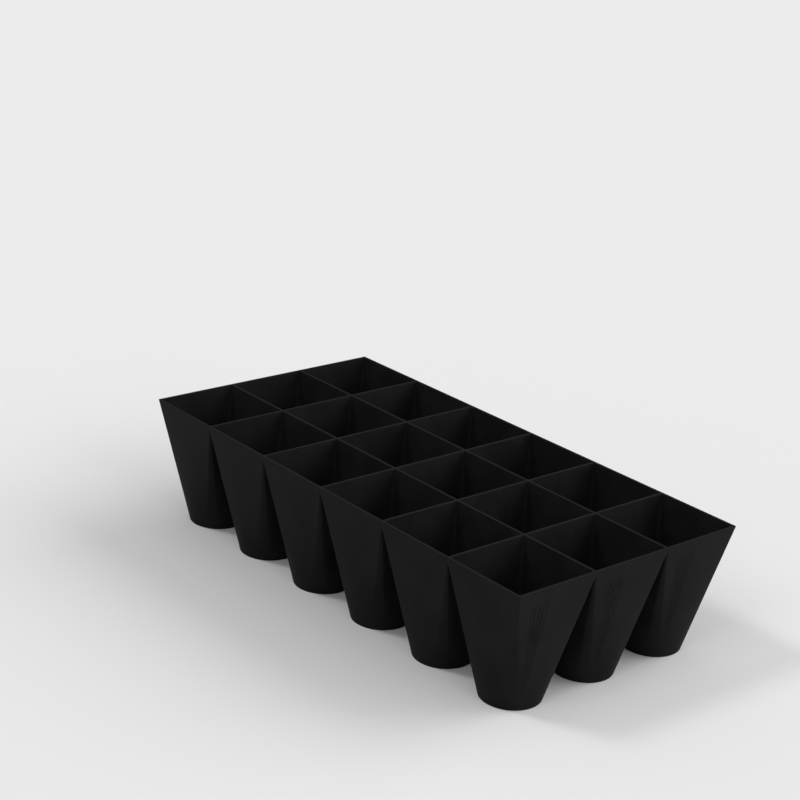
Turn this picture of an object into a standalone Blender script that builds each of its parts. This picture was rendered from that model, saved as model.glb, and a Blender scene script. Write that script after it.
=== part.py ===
"""Seed tray of eighteen cells, in three rows of six.

Every cell is a thin cup that is square at the mouth and round at the base.
Its wall is a ruled loft, so each corner starts as a sharp crease under the rim
and fades into the round base. Neighbours share one wall at the rim, and part
below it as their sides lean in. The tray is divided along the middle of those
shared walls, where such a tray is cut up, so each cell is a piece of its own.
"""
import math

import bmesh
import bpy
from mathutils import Vector

# Driving dimensions, in metres.
ROWS = 3
COLUMNS = 6
CELL_MOUTH = 0.0400
CELL_HEIGHT = 0.0580
BASE_DIAMETER = 0.0264
WALL = 0.0012
FLOOR = 0.0012
DRAIN_DIAMETER = 0.0060
SEAM_GAP = 0.0003

# Fineness of the facets: along one side of the mouth, and from base to rim.
SIDE_FACETS = 6
WALL_STEPS = 4

# The moulded plastic.
PLASTIC_COLOUR = (0.012, 0.012, 0.012, 1.0)
PLASTIC_ROUGHNESS = 0.45
CREASE_ANGLE = math.radians(30)

# Sizes that follow from the ones above.
PITCH = CELL_MOUTH + WALL
OUTER_HALF = CELL_MOUTH / 2 + WALL
BASE_RADIUS = BASE_DIAMETER / 2
SEAM_HALF = PITCH / 2 - SEAM_GAP / 2
PARTING_DEPTH = CELL_HEIGHT * (OUTER_HALF - SEAM_HALF) / (OUTER_HALF - BASE_RADIUS)

ROW_LETTERS = "abcdefghijklmnopqrstuvwxyz"
CORNERS = (Vector((-1, -1)), Vector((1, -1)), Vector((1, 1)), Vector((-1, 1)))
FIRST_CORNER_ANGLE = math.radians(-135)
QUARTER_TURN = math.radians(90)


def clear_scene():
    """Remove whatever the file holds."""
    for item in list(bpy.data.objects):
        bpy.data.objects.remove(item, do_unlink=True)


def around():
    """Walk once round a cell: the point on a unit square and the angle that belongs to it."""
    for side in range(4):
        start = CORNERS[side]
        end = CORNERS[(side + 1) % 4]
        for step in range(SIDE_FACETS):
            share = step / SIDE_FACETS
            yield start.lerp(end, share), FIRST_CORNER_ANGLE + QUARTER_TURN * (side + share)


def wall_ring(height, inset):
    """The level outline of the loft at one height, drawn in by inset for the inner skin."""
    rise = height / CELL_HEIGHT
    ring = []
    for square, angle in around():
        base_point = Vector((math.cos(angle), math.sin(angle))) * (BASE_RADIUS - inset)
        rim_point = square * (OUTER_HALF - inset)
        ring.append(base_point.lerp(rim_point, rise).to_3d() + Vector((0, 0, height)))
    return ring


def drain_ring(height):
    """The edge of the drain hole at one height."""
    radius = DRAIN_DIAMETER / 2
    return [Vector((radius * math.cos(angle), radius * math.sin(angle), height)) for _, angle in around()]


def trimmed(ring, neighbours):
    """Hold the ring back from the seam on each side that has a neighbour."""
    west, east, south, north = neighbours
    for point in ring:
        if west:
            point.x = max(point.x, -SEAM_HALF)
        if east:
            point.x = min(point.x, SEAM_HALF)
        if south:
            point.y = max(point.y, -SEAM_HALF)
        if north:
            point.y = min(point.y, SEAM_HALF)
    return ring


def steps_between(first, last, count):
    """Evenly spaced heights, both ends included."""
    return [first + (last - first) * step / count for step in range(count + 1)]


def cell_rings(neighbours):
    """The outlines that wrap one cup: under the floor, up the outside, down the inside, to the drain."""
    parting_height = CELL_HEIGHT - PARTING_DEPTH
    outer_heights = steps_between(0.0, parting_height, WALL_STEPS - 1) + [CELL_HEIGHT]
    inner_heights = steps_between(CELL_HEIGHT, FLOOR, WALL_STEPS)
    rings = [drain_ring(0.0)]
    rings += [trimmed(wall_ring(height, 0.0), neighbours) for height in outer_heights]
    rings += [wall_ring(height, WALL) for height in inner_heights]
    rings += [drain_ring(FLOOR)]
    return rings


def cell_mesh(name, neighbours):
    """Skin the rings into one closed cup with a hole through its floor.

    The last ring is skinned back to the first one, which makes the wall of the drain hole.
    """
    shape = bmesh.new()
    loops = [[shape.verts.new(point) for point in ring] for ring in cell_rings(neighbours)]
    for loop, following in zip(loops, loops[1:] + loops[:1]):
        for i in range(len(loop)):
            shape.faces.new((loop[i - 1], loop[i], following[i], following[i - 1]))
    mesh = bpy.data.meshes.new(name)
    shape.to_mesh(mesh)
    shape.free()
    mesh.shade_smooth()
    mesh.set_sharp_from_angle(angle=CREASE_ANGLE)
    return mesh


def black_plastic():
    """The satin black plastic of the whole tray."""
    material = bpy.data.materials.new("black_plastic")
    material.use_nodes = True
    surface = material.node_tree.nodes["Principled BSDF"]
    surface.inputs["Base Color"].default_value = PLASTIC_COLOUR
    surface.inputs["Roughness"].default_value = PLASTIC_ROUGHNESS
    surface.inputs["Metallic"].default_value = 0.0
    return material


def build_tray():
    """Set the cells out on their pitch, under one empty at the middle of the tray's footprint."""
    tray = bpy.data.objects.new("seed_tray", None)
    bpy.context.scene.collection.objects.link(tray)
    plastic = black_plastic()
    meshes = {}
    for row in range(ROWS):
        for column in range(COLUMNS):
            neighbours = (column > 0, column < COLUMNS - 1, row > 0, row < ROWS - 1)
            name = f"cell_{ROW_LETTERS[row]}{column + 1}"
            if neighbours not in meshes:
                meshes[neighbours] = cell_mesh(name, neighbours)
                meshes[neighbours].materials.append(plastic)
            cell = bpy.data.objects.new(name, meshes[neighbours])
            cell.location.x = (column - (COLUMNS - 1) / 2) * PITCH
            cell.location.y = (row - (ROWS - 1) / 2) * PITCH
            cell.parent = tray
            bpy.context.scene.collection.objects.link(cell)


clear_scene()
build_tray()
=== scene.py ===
# %% [markdown]
# # A black seed tray
#
# This lesson dresses a seed tray: three rows of six thin cups, square at the rim and round at
# the base, in one black plastic. The solid model of the tray comes first, as a fixed frame.
# Everything made here goes where that frame says, so nothing is fitted by eye.

# %% Load the frame
import math

import bmesh
import bpy
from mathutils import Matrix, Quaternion, Vector


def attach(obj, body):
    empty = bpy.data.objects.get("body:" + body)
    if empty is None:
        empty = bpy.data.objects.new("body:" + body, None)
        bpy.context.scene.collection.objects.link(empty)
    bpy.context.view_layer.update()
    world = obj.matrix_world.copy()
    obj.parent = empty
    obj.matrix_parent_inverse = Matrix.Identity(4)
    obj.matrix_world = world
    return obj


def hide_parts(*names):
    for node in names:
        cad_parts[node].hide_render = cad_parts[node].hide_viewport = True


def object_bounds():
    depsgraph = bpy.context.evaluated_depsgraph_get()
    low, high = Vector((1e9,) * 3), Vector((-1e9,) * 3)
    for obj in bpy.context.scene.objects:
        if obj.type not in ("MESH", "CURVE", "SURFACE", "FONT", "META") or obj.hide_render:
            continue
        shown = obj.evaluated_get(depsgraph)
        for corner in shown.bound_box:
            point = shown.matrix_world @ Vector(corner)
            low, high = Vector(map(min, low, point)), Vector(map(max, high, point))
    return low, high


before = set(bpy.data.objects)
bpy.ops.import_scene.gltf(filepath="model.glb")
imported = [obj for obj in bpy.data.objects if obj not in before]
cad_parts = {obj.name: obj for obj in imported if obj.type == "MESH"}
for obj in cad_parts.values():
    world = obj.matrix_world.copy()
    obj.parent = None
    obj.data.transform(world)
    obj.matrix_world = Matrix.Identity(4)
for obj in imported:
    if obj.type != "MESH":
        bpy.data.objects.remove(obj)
cad_low, cad_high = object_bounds()
print("solid model:", len(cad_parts), "cells, from", cad_low[:], "to", cad_high[:])

# %% [markdown]
# ## Sizes
#
# A tray is a pattern, so a few sizes set everything. The mouth, the wall and the base are
# written here once. The rim's height and the number of rows and columns are read from the
# frame, so that the dressed tray can't drift away from the solid one.

# %% Sizes in metres
MOUTH = 0.040
WALL = 0.0012
BASE_RADIUS = 0.0132
FLOOR = 0.0012
DRAIN_RADIUS = 0.003

PITCH = MOUTH + WALL
RIM = cad_high[2]
INNER_HALF = MOUTH / 2
OUTER_HALF = INNER_HALF + WALL
COLUMNS = round((cad_high[0] - cad_low[0] - WALL) / PITCH)
ROWS = round((cad_high[1] - cad_low[1] - WALL) / PITCH)
print(f"{ROWS} rows of {COLUMNS}, pitch {PITCH * 1000:.1f} mm, rim at {RIM * 1000:.1f} mm")

# %% [markdown]
# ## The camera
#
# The picture was taken with a long lens from one corner, a little above the tray. The lens and
# the place were worked out from the straight rim lines, which run to two vanishing points. A
# Track To constraint could aim the camera, but it always keeps the camera level, and this one
# was held a few degrees off level. So the turn is worked out from the line of sight, and a roll
# about that line is added.

# %% Camera
LENS = 85.69
SENSOR = 36.0
CAMERA_PLACE = Vector((0.5816, -0.5296, 0.3725))
CAMERA_AIM = Vector((-0.1250, 0.0890, 0.0290))
CAMERA_ROLL = math.radians(3.865)

bpy.ops.object.select_all(action="DESELECT")
bpy.ops.object.camera_add(location=CAMERA_PLACE)
camera = bpy.context.object
camera.data.lens = LENS
camera.data.sensor_width = SENSOR
sight = CAMERA_AIM - CAMERA_PLACE
camera.rotation_mode = "QUATERNION"
camera.rotation_quaternion = sight.to_track_quat("-Z", "Y") @ Quaternion((0, 0, 1), CAMERA_ROLL)
bpy.context.scene.camera = camera
print(f"camera {sight.length:.3f} m from its aim")

# %% [markdown]
# ## One cup
#
# A moulded cell has no seam: its wall flows from a square mouth to a round base. Straight lines
# run from each side of the square to an arc of the base below it, and what is left between two
# arcs fans out from the corner as a narrow cone. So there is a crease on both sides of each
# corner, and both die away towards the base.
#
# The top of a cylinder could be pulled square point by point. Bridging two outlines with equally
# many points is simpler, and it gives the true surface of straight lines. The points say how the
# wall runs. Most of those on the circle belong to the sides, and the few that are left belong to
# the corners, so each corner of the square is a tiny arc with as many points.
#
# The cup is drawn as one closed skin: out along the underside, up the outside, over the rim,
# down the inside and back to the drain hole.

# %% Helpers that pick points by their place
NEAR = 0.0001


def pick(test):
    """In edit mode, select the points for which test(point) is true, and nothing else."""
    mesh = bmesh.from_edit_mesh(bpy.context.object.data)
    bpy.ops.mesh.select_mode(type="VERT")
    bpy.ops.mesh.select_all(action="DESELECT")
    for point in mesh.verts:
        point.select = test(point.co)
    mesh.select_flush(True)
    bmesh.update_edit_mesh(bpy.context.object.data)


def on_circle(radius, height):
    """A test for the points of a level circle round the cup's middle."""
    return lambda p: abs(p.xy.length - radius) < NEAR and abs(p.z - height) < NEAR


def on_square(half, height):
    """A test for the points of a level square round the cup's middle."""
    return lambda p: abs(max(abs(p.x), abs(p.y)) - half) < NEAR and abs(p.z - height) < NEAR


print(f"points count as met within {NEAR * 1000:.1f} mm")

# %% The underside and the outline of the rim
AROUND = 144
SIDE_STEPS = 26
CORNER_STEPS = AROUND // 4 - SIDE_STEPS
SIDE_ARC = 2 * math.pi * SIDE_STEPS / AROUND
RIM_CORNER = 0.0003


def widen(factor):
    """Extrude the selected outline and scale it in its own plane."""
    bpy.ops.mesh.extrude_region()
    bpy.ops.transform.resize(value=(factor, factor, 1), center_override=(0, 0, 0))


bpy.ops.object.select_all(action="DESELECT")
bpy.ops.mesh.primitive_circle_add(vertices=AROUND, radius=DRAIN_RADIUS, location=(0, 0, 0))
cup = bpy.context.object
cup.name = "cup"
bpy.ops.object.mode_set(mode="EDIT")
widen(BASE_RADIUS / DRAIN_RADIUS)
bpy.ops.mesh.select_all(action="DESELECT")
bpy.ops.mesh.primitive_plane_add(size=2 * OUTER_HALF, location=(0, 0, RIM))
bpy.ops.mesh.delete(type="ONLY_FACE")
pick(on_square(OUTER_HALF, RIM))
bpy.ops.mesh.subdivide(number_cuts=SIDE_STEPS - 1)
pick(lambda p: min(abs(p.x), abs(p.y)) > OUTER_HALF - NEAR)
bpy.ops.mesh.bevel(offset=RIM_CORNER, segments=CORNER_STEPS, affect="VERTICES")
print(f"{math.degrees(SIDE_ARC):.0f} degrees of the base for a side, the rest for the corners")

# %% The outer wall
LEVELS = 20


def bridge(first, second):
    """Join two outlines by a wall of straight lines, divided into levels."""
    pick(lambda p: first(p) or second(p))
    bpy.ops.mesh.bridge_edge_loops(number_cuts=LEVELS - 1, interpolation="LINEAR")


bridge(on_square(OUTER_HALF, RIM), on_circle(BASE_RADIUS, 0))
print("outer wall:", len(bmesh.from_edit_mesh(cup.data).faces), "faces")

# %% The rim, the drain hole and the inner wall
INNER_BASE = BASE_RADIUS - WALL

pick(on_square(OUTER_HALF, RIM))
widen(INNER_HALF / OUTER_HALF)
pick(on_circle(DRAIN_RADIUS, 0))
bpy.ops.mesh.extrude_region()
bpy.ops.transform.translate(value=(0, 0, FLOOR))
widen(INNER_BASE / DRAIN_RADIUS)
bridge(on_square(INNER_HALF, RIM), on_circle(INNER_BASE, FLOOR))
print("whole cup:", len(bmesh.from_edit_mesh(cup.data).faces), "faces")

# %% [markdown]
# ## Edges
#
# Nothing that leaves a mould has a knife edge. A bevel of a fraction of a millimetre on the rim
# and round the foot catches a thin line of light, and inside, a wider one stands for the fillet
# that lets a plug of compost slide out. A Bevel modifier would round every sharp edge alike, the
# creases of the wall too, and those stay sharp. So each edge is picked and bevelled by itself.
#
# Smooth shading bends the light over every face that touches a bevel, and the faces of the wall
# are tall. So one more loop is cut close beside the rim and the foot, and the bend stays there.

# %% Bevel the rim, the foot and the inside of the floor
RIM_ROUND = 0.00015
FOOT_ROUND = 0.0003
FLOOR_FILLET = 0.0010
EDGE_STEPS = 6
FILLET_STEPS = 6
SAME_POINT = 0.000001


def round_edge(test, offset, steps):
    """Bevel the edges between the picked points."""
    pick(test)
    bpy.ops.mesh.bevel(offset=offset, offset_type="OFFSET", segments=steps, affect="EDGES")


round_edge(on_square(OUTER_HALF, RIM), RIM_ROUND, EDGE_STEPS)
round_edge(on_square(INNER_HALF, RIM), RIM_ROUND, EDGE_STEPS)
round_edge(on_circle(BASE_RADIUS, 0), FOOT_ROUND, EDGE_STEPS)
round_edge(on_circle(INNER_BASE, FLOOR), FLOOR_FILLET, FILLET_STEPS)
bpy.ops.mesh.select_all(action="SELECT")
bpy.ops.mesh.remove_doubles(threshold=SAME_POINT)
bpy.ops.mesh.normals_make_consistent(inside=False)
print("bevelled cup:", len(bmesh.from_edit_mesh(cup.data).faces), "faces")

# %% Hold the shading beside the bevels
HOLD_WIDTHS = 2

for height in (RIM - HOLD_WIDTHS * RIM_ROUND, HOLD_WIDTHS * FOOT_ROUND):
    bpy.ops.mesh.select_all(action="SELECT")
    bpy.ops.mesh.bisect(plane_co=(0, 0, height), plane_no=(0, 0, 1))
bpy.ops.object.mode_set(mode="OBJECT")
print("cup with holding loops:", len(cup.data.polygons), "faces")

# %% [markdown]
# ## Lines for the painted shade streaks
#
# A few thin dark streaks of painted shade lie on the wall, on the side that faces +X. They start
# together at the foot, at one end of the arc that belongs to the side, and spread towards the
# rim. Streaks drawn along the height alone would run across the lean of the wall, and a UV map
# has a seam where a turn ends. So every point stores where the line from that foot through the
# point meets the rim, as a share of half the side. It also stores how far its side faces +X,
# and its height. The shader reads all three as one attribute.

# %% Store where each streak line meets the rim
QUARTER = math.pi / 2
STREAK_FOOT = -BASE_RADIUS * math.sin(SIDE_ARC / 2)
LEAST_RISE = 0.01


def streak_line(point):
    """The place on the rim, the side and the height that a point of the wall has."""
    side = round(math.atan2(point.y, point.x) / QUARTER) * QUARTER
    along = point.y * math.cos(side) - point.x * math.sin(side)
    rise = max(point.z / RIM, LEAST_RISE)
    rim_place = STREAK_FOOT + (along - STREAK_FOOT) / rise
    return Vector((rim_place / OUTER_HALF, math.cos(side), rise))


# The lines along which the streaks of painted shade are drawn.
streak_line_data = cup.data.attributes.new("streak_line", "FLOAT_VECTOR", "POINT")
for point, entry in zip(cup.data.vertices, streak_line_data.data):
    entry.vector = streak_line(point.co)
print("mark lines stored on", len(streak_line_data.data), "points")

# %% [markdown]
# ## Eighteen cups
#
# The cells differ only in where they end. On a side with a neighbour the two walls are one wall,
# so each cup is cut on the middle of that wall, and on an outer side it keeps the whole wall.
# An Array modifier would give eighteen whole cups that run into each other. So the master cup is
# copied with its mesh, moved to its place and cut there. Bisect cuts and closes the cut in one
# step. It takes points within its threshold for points of the plane, and the usual 0.1 mm is
# coarse beside so fine a rim, so the cut gets a smaller one. The cut faces lie against each
# other, so no seam shows.

# %% Copy and cut
def cut(middle, direction):
    """Cut off what lies beyond a plane and close the cut."""
    bpy.ops.mesh.select_all(action="SELECT")
    bpy.ops.mesh.bisect(
        plane_co=middle,
        plane_no=direction,
        use_fill=True,
        clear_outer=True,
        threshold=SAME_POINT,
    )


def copy_of_cup(name, place):
    """A copy of the master cup with its own mesh, the place in the mesh."""
    bpy.ops.object.select_all(action="DESELECT")
    cell = cup.copy()
    cell.data = cup.data.copy()
    cell.name = name
    cell.location = place
    bpy.context.scene.collection.objects.link(cell)
    cell.select_set(True)
    bpy.context.view_layer.objects.active = cell
    bpy.ops.object.transform_apply(location=True)
    return cell


print("ready to copy", cup.name, "and to cut the copies")

# %% Put a copy in the place of a node
CREASE = math.radians(15)


def dressed_cell(node, row, column):
    """One cell in the place of its node of the solid model."""
    place = Vector(((column - (COLUMNS - 1) / 2) * PITCH, (row - (ROWS - 1) / 2) * PITCH, 0))
    cell = copy_of_cup(node + "_cup", place)
    bpy.ops.object.mode_set(mode="EDIT")
    for has_neighbour, way in (
        (column > 0, Vector((-1, 0, 0))),
        (column < COLUMNS - 1, Vector((1, 0, 0))),
        (row > 0, Vector((0, -1, 0))),
        (row < ROWS - 1, Vector((0, 1, 0))),
    ):
        if has_neighbour:
            cut(place + way * PITCH / 2, way)
    bpy.ops.object.mode_set(mode="OBJECT")
    bpy.ops.object.shade_smooth_by_angle(angle=CREASE)
    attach(cell, "root")
    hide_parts(node)
    return cell


print(f"edges sharper than {math.degrees(CREASE):.0f} degrees stay creases")

# %% Make all the cells
def bad_edges(cell):
    """How many edges don't lie between two faces that look the same way out."""
    mesh = bmesh.new()
    mesh.from_mesh(cell.data)
    count = sum(not edge.is_contiguous for edge in mesh.edges)
    mesh.free()
    return count


ROW_LETTERS = "abc"

cells = []
for row, letter in enumerate(ROW_LETTERS):
    for column in range(COLUMNS):
        cells.append(dressed_cell(f"cell_{letter}{column + 1}", row, column))
bpy.data.objects.remove(cup)
faces = sum(len(cell.data.polygons) for cell in cells)
print(len(cells), "cells,", faces, "faces,", sum(map(bad_edges, cells)), "bad edges")

# %% [markdown]
# ## Black plastic
#
# The whole tray is one material, a black plastic with a dull satin skin. It looks plain, yet it
# is not one flat colour. The pigment is a little uneven and the mould leaves a fine grain. Thin
# dark streaks of painted shade lie on the side that faces +X, and a painted highlight turns the
# top of the rim grey. Painted textures could hold all this, but they would have to be drawn for
# every cell. Noise in the tray's own space costs nothing, never repeats from cell to cell and
# keeps its place under any light.
#
# A few helpers keep the node tree readable: each adds one kind of node and gives its output.

# %% Start the plastic
DULL = 0.025

plastic = bpy.data.materials.new("satin_black_plastic")
plastic.use_nodes = True
shader = plastic.node_tree.nodes["Principled BSDF"]
shader.inputs["Specular IOR Level"].default_value = DULL


def add(kind, **settings):
    """Add a shader node to the plastic and set its properties."""
    node = plastic.node_tree.nodes.new("ShaderNode" + kind)
    for name, value in settings.items():
        setattr(node, name, value)
    return node


def join(source, target):
    """Connect an output of the plastic's nodes to an input."""
    plastic.node_tree.links.new(source, target)


own = add("TexCoord").outputs["Object"]
for cell in cells:
    cell.data.materials.clear()
    cell.data.materials.append(plastic)
print(plastic.name, "on", len(cells), "cells")

# %% Noise, ranges and products
NONE_TO_ALL = (0.0, 1.0)
ALL_TO_NONE = (1.0, 0.0)
NOISE_DETAIL = 3


def noise(vector, scale):
    """A noise texture read at a vector."""
    texture = add("TexNoise")
    texture.inputs["Scale"].default_value = scale
    texture.inputs["Detail"].default_value = NOISE_DETAIL
    join(vector, texture.inputs["Vector"])
    return texture.outputs["Fac"]


def remap(value, span, result=NONE_TO_ALL):
    """Stretch a value from one range to another, smoothly, and hold it there."""
    change = add("MapRange", interpolation_type="SMOOTHSTEP")
    for name, setting in zip(("From Min", "From Max", "To Min", "To Max"), span + result):
        change.inputs[name].default_value = setting
    join(value, change.inputs["Value"])
    return change.outputs["Result"]


def combine(operation, *values):
    """Work values together by one operation."""
    total = values[0]
    for value in values[1:]:
        step = add("Math", operation=operation)
        join(total, step.inputs[0])
        join(value, step.inputs[1])
        total = step.outputs[0]
    return total


def parts_of(vector):
    """The X, Y and Z of a vector."""
    split = add("SeparateXYZ")
    join(vector, split.inputs[0])
    return split.outputs


print("helpers for noise, ranges, products and the parts of a vector")

# %% [markdown]
# ### Painted shade streaks
#
# The streaks are painted shade, drawn along the lines stored above. A wave across them gives
# thin dark lines side by side, a little bent, and a noise in the tray's own space breaks them
# up, so that no cell has the streaks of its neighbour. They show in one band of the side that
# faces +X, between the rim and the foot. A mask of smooth steps in the same stored values marks
# that band: its ends along the rim are shares of half the side, and those up and down are shares
# of the height.

# %% Painted shade streaks in a band
LINES = 2.7
LINE_BEND = 2.5
BENDS = 4.0
LINE_EDGE = (0.30, 0.80)
BREAKS_PER_METRE = 220
BREAK_EDGE = (0.28, 0.46)
FACES_X = (0.2, 0.6)
BAND_START = (-0.68, -0.60)
BAND_END = (-0.20, -0.08)
ABOVE_FOOT = (0.08, 0.30)
BELOW_RIM = (0.82, 0.94)

lines = add("Attribute", attribute_name="streak_line").outputs["Vector"]
wave = add("TexWave", bands_direction="X")
wave.inputs["Scale"].default_value = LINES
wave.inputs["Distortion"].default_value = LINE_BEND
wave.inputs["Detail Scale"].default_value = BENDS
join(lines, wave.inputs["Vector"])
rim_place, side_x, height_share = parts_of(lines)
# The mask of the thin dark streaks of painted shade.
painted_shade_streaks = combine(
    "MULTIPLY",
    remap(wave.outputs["Fac"], LINE_EDGE),
    remap(noise(own, BREAKS_PER_METRE), BREAK_EDGE),
    remap(side_x, FACES_X),
    remap(rim_place, BAND_START),
    remap(rim_place, BAND_END, ALL_TO_NONE),
    remap(height_share, ABOVE_FOOT),
    remap(height_share, BELOW_RIM, ALL_TO_NONE),
)
print("marks:", len(plastic.node_tree.nodes), "nodes so far")

# %% [markdown]
# ### Colour
#
# The colour has three steps: the uneven pigment, the darker streaks of painted shade over it,
# and a painted highlight on the rim last. The highlight is held to the rounded top of the rim,
# and a finer noise breaks it up. Pointiness would find edges too, but it depends on how fine
# the mesh is, and the height of the rim is known.

# %% Pigment, painted shade streaks and painted rim highlight
PIGMENT_DARK = 0.0093
PIGMENT_PALE = 0.0122
# A tone that darkens the colour along the streaks of painted shade.
STREAK_SHADE_TONE = 0.60
# The grey of the painted highlight on the top of the rim.
RIM_HIGHLIGHT_GREY = 0.0145
RIM_HIGHLIGHT_DEPTH = 0.00015
CLOUDS_PER_METRE = 60
CLOUD_EDGE = (0.35, 0.65)
# Noise that breaks up the painted highlight on the rim top.
HIGHLIGHT_BREAKS_PER_METRE = 700
HIGHLIGHT_BREAK_EDGE = (0.30, 0.60)
HIGHLIGHT_BREAK_SHARE = (0.4, 1.0)


def blend(factor, first, second, kind="MIX"):
    """Mix two colours, each one a grey or an output of a node."""
    mix = add("Mix", data_type="RGBA", blend_type=kind)
    join(factor, mix.inputs["Factor"])
    colour_sockets = [socket for socket in mix.inputs if socket.type == "RGBA"]
    for colour, socket in zip((first, second), colour_sockets):
        if isinstance(colour, float):
            socket.default_value = (colour, colour, colour, 1)
        else:
            join(colour, socket)
    return next(socket for socket in mix.outputs if socket.type == "RGBA")


clouds = noise(own, CLOUDS_PER_METRE)
highlight_breaks = remap(noise(own, HIGHLIGHT_BREAKS_PER_METRE), HIGHLIGHT_BREAK_EDGE, HIGHLIGHT_BREAK_SHARE)
rim_top = remap(parts_of(own)["Z"], (RIM - RIM_HIGHLIGHT_DEPTH, RIM))
# The mask of the painted highlight on the rim top, broken up by noise.
painted_rim_highlight = combine("MULTIPLY", rim_top, highlight_breaks)
pigment = blend(remap(clouds, CLOUD_EDGE), PIGMENT_DARK, PIGMENT_PALE)
# Painted shade: the pigment is darkened along the streaks.
streaked = blend(painted_shade_streaks, pigment, STREAK_SHADE_TONE, "MULTIPLY")
# Painted highlight: the rim top is turned grey last.
join(blend(painted_rim_highlight, streaked, RIM_HIGHLIGHT_GREY), shader.inputs["Base Color"])
print("colour:", len(plastic.node_tree.nodes), "nodes so far")

# %% [markdown]
# ### Skin
#
# A satin skin spreads a highlight widely, and a little more on the streaks of painted shade and
# on the painted highlight of the rim. The grain of the mould is too fine to model. Moving the
# mesh would take millions of faces, so a bump only turns the surface under the light.

# %% Roughness and grain
SATIN = (0.48, 0.58)
STREAK_ROUGHER = 0.12
RIM_TOP_ROUGH = 0.7
GRAIN_PER_METRE = 2600
GRAIN_DEPTH = 0.00004
GRAIN_STRENGTH = 0.25

skin = remap(clouds, CLOUD_EDGE, SATIN)
skin = combine("ADD", skin, remap(painted_shade_streaks, NONE_TO_ALL, (0.0, STREAK_ROUGHER)))
skin = combine("MAXIMUM", skin, remap(painted_rim_highlight, NONE_TO_ALL, (0.0, RIM_TOP_ROUGH)))
join(skin, shader.inputs["Roughness"])
grain = add("Bump")
grain.inputs["Strength"].default_value = GRAIN_STRENGTH
grain.inputs["Distance"].default_value = GRAIN_DEPTH
join(noise(own, GRAIN_PER_METRE), grain.inputs["Height"])
join(grain.outputs["Normal"], shader.inputs["Normal"])
print("plastic:", len(plastic.node_tree.nodes), "nodes")

# %% [markdown]
# ## Floor
#
# The tray stands on pale paper that runs out of the picture on all sides. A curved backdrop
# would do as well, but from this height the camera never sees a horizon, so one large plane is
# enough. It stays dull, because a shine would mirror the lamps, and it keeps the tray's shadow.

# %% Pale paper
PAPER_TONE = 0.80
PAPER_SIZE = 40

bpy.ops.object.select_all(action="DESELECT")
bpy.ops.mesh.primitive_plane_add(size=PAPER_SIZE, location=(0, 0, 0))
floor = bpy.context.object
floor.name = "floor"
paper = bpy.data.materials.new("pale_paper")
paper.use_nodes = True
sheet = paper.node_tree.nodes["Principled BSDF"]
sheet.inputs["Base Color"].default_value = (PAPER_TONE, PAPER_TONE, PAPER_TONE, 1)
sheet.inputs["Roughness"].default_value = 1.0
sheet.inputs["Specular IOR Level"].default_value = 0.0
floor.data.materials.append(paper)
print(f"paper of {PAPER_SIZE} m under the tray")

# %% [markdown]
# ## Light
#
# Shadows tell where the lamps were. The widest and softest one falls to the front left, so the
# largest softbox stood low behind the tray on the right. A second, sharper shadow lies on the
# right, so a small lamp stood high on the left. The rest is weak fill, and an even light from
# all round. Area lamps would do, but near ones leave the far paper dark. A sun is a far lamp
# with a direction, a width and a strength, which is enough for so small an object. Each strength
# is worked out from the share of the paper's light that the lamp gives. With the even light, the
# shares add up to one.

# %% A far soft lamp
PAPER_LIGHT = 1.04
LAMP_HEIGHT = 1.0


def sun(name, azimuth, elevation, width, share):
    """A far soft lamp. Angles are in degrees, the azimuth from +X towards +Y."""
    turn = math.radians(azimuth)
    rise = math.radians(elevation)
    bpy.ops.object.select_all(action="DESELECT")
    bpy.ops.object.light_add(type="SUN", location=(0, 0, LAMP_HEIGHT))
    lamp = bpy.context.object
    lamp.name = name
    lamp.data.angle = math.radians(width)
    lamp.data.energy = PAPER_LIGHT * share * math.pi / math.sin(rise)
    level = math.cos(rise)
    towards = Vector((math.cos(turn) * level, math.sin(turn) * level, math.sin(rise)))
    lamp.rotation_mode = "QUATERNION"
    lamp.rotation_quaternion = towards.to_track_quat("Z", "Y")
    print(f"{name}: {share:.1%} of the light on the paper")


print("strengths are shares of", PAPER_LIGHT, "on the paper")

# %% Five lamps
sun("large_softbox_behind", azimuth=72, elevation=32, width=50, share=0.237)
sun("low_softbox_right", azimuth=36, elevation=20, width=40, share=0.067)
sun("small_lamp_left", azimuth=225, elevation=52, width=14, share=0.158)
sun("fill_front", azimuth=277, elevation=41, width=24, share=0.078)
sun("fill_right", azimuth=0, elevation=26, width=25, share=0.060)
print(len(bpy.data.lights), "lamps")

# %% Even light
EVEN_SHARE = 0.40

studio = bpy.data.worlds.new("studio")
studio.use_nodes = True
even_light = studio.node_tree.nodes["Background"]
even_light.inputs["Color"].default_value = (1, 1, 1, 1)
even_light.inputs["Strength"].default_value = PAPER_LIGHT * EVEN_SHARE
bpy.context.scene.world = studio
bpy.context.scene.view_settings.view_transform = "Standard"
print(f"even light: {EVEN_SHARE:.1%} of the light on the paper")
